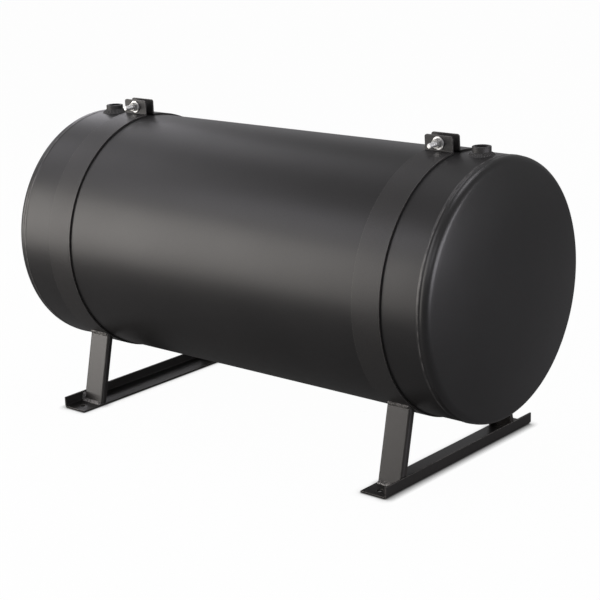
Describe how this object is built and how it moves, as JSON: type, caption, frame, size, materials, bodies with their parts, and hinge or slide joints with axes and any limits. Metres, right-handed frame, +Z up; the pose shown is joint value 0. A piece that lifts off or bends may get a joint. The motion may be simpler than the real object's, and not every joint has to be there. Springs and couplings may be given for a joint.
{
  "type": "horizontal hot water cylinder",
  "caption": "Horizontal welded steel hot water cylinder with pipe sockets on top, held by clamped bands on a stand of pressed legs and angle foot rails.",
  "frame": {"origin": "on the floor, below the middle of the tank", "axes": "+X along the tank to its right end, +Y to the back, +Z up"},
  "size_m": [0.8972, 0.4064, 0.5079],
  "materials": {
    "tank_paint": "satin charcoal enamel on rolled and pressed steel plate",
    "stand_paint": "satin charcoal enamel over mill scale on bent flat bar, pressed legs and rails",
    "weld_paint": "charcoal enamel over rippled weld beads",
    "zinc": "bright zinc plate on bolt, nut and washers"
  },
  "bodies": {
    "root": {"tank_shell": "tank_paint", "left_head": "tank_paint", "right_head": "tank_paint", "left_head_weld": "weld_paint", "right_head_weld": "weld_paint", "shell_seam_weld": "weld_paint", "left_socket": "tank_paint", "right_socket": "tank_paint", "left_socket_weld": "weld_paint", "right_socket_weld": "weld_paint", "left_band": "stand_paint", "right_band": "stand_paint", "left_clamp_bolt": "zinc", "right_clamp_bolt": "zinc", "left_clamp_nut": "zinc", "right_clamp_nut": "zinc", "left_front_washer": "zinc", "right_front_washer": "zinc", "left_rear_washer": "zinc", "right_rear_washer": "zinc", "left_rail": "stand_paint", "right_rail": "stand_paint", "left_front_leg": "stand_paint", "left_rear_leg": "stand_paint", "right_front_leg": "stand_paint", "right_rear_leg": "stand_paint", "left_front_leg_top_weld": "weld_paint", "left_rear_leg_top_weld": "weld_paint", "right_front_leg_top_weld": "weld_paint", "right_rear_leg_top_weld": "weld_paint", "left_front_foot_weld": "weld_paint", "left_rear_foot_weld": "weld_paint", "right_front_foot_weld": "weld_paint", "right_rear_foot_weld": "weld_paint"}
  },
  "joints": []
}
